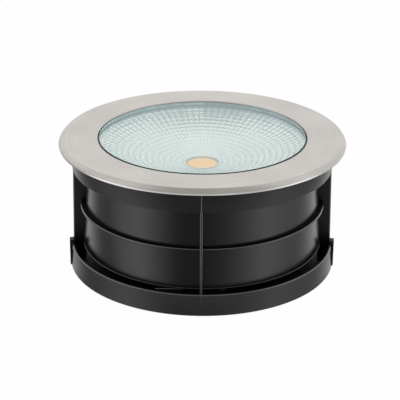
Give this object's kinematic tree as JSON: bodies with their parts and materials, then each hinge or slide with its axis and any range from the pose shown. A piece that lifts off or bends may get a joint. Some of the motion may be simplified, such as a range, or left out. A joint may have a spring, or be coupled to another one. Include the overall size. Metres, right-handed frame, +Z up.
{
  "type": "deck light",
  "caption": "Round in-ground uplight: satin steel bezel and flush glass over a faceted reflector and LED, in a finned black mounting sleeve with a clip-on drain cover.",
  "frame": {"origin": "centre of the base plane that the sleeve stands on", "axes": "+Z up along the lamp's axis, -Y towards the viewer of the picture, +X to the right"},
  "size_m": [0.25, 0.25, 0.116],
  "materials": {
    "stainless_face": "fine satin brushed",
    "clear_glass": "polished, faint green edge",
    "seal_rubber": "matt",
    "bright_reflector": "bright, semi-specular facets",
    "cast_housing": "die-cast, shot-blasted",
    "led_phosphor": "smooth, amber yellow",
    "led_board": "white mask",
    "holder_plastic": "satin",
    "pad_grey": "soft, matt",
    "screw_steel": "plain",
    "spring_steel": "rolled",
    "driver_case": "fine texture",
    "terminal_plastic": "satin",
    "gland_plastic": "satin",
    "sleeve_plastic": "satin moulded"
  },
  "bodies": {
    "sleeve": {"sleeve": "sleeve_plastic", "drain_cover": "sleeve_plastic"},
    "lamp": {"face_ring": "stainless_face", "glass_lens": "clear_glass", "glass_gasket": "seal_rubber", "body_seal": "seal_rubber", "seat_gasket": "seal_rubber", "cover_gasket": "seal_rubber", "gland_seal": "seal_rubber", "gland_washer": "seal_rubber", "reflector": "bright_reflector", "lamp_housing": "cast_housing", "rear_cover": "cast_housing", "cob_phosphor": "led_phosphor", "cob_board": "led_board", "cob_holder": "holder_plastic", "thermal_pad": "pad_grey", "holder_screws": "screw_steel", "face_screws": "screw_steel", "driver_screws": "screw_steel", "terminal_screws": "screw_steel", "cover_screws": "screw_steel", "spring_screws": "screw_steel", "retaining_spring_1": "spring_steel", "retaining_spring_2": "spring_steel", "retaining_spring_3": "spring_steel", "led_driver": "driver_case", "terminal_block": "terminal_plastic", "gland_body": "gland_plastic", "gland_nut": "gland_plastic", "lock_nut": "gland_plastic"}
  },
  "joints": [
    {"name": "lamp_lift", "type": "slide", "parent": "sleeve", "child": "lamp", "axis": [0, 0, 1], "range_m": [0, 0.11]}
  ]
}
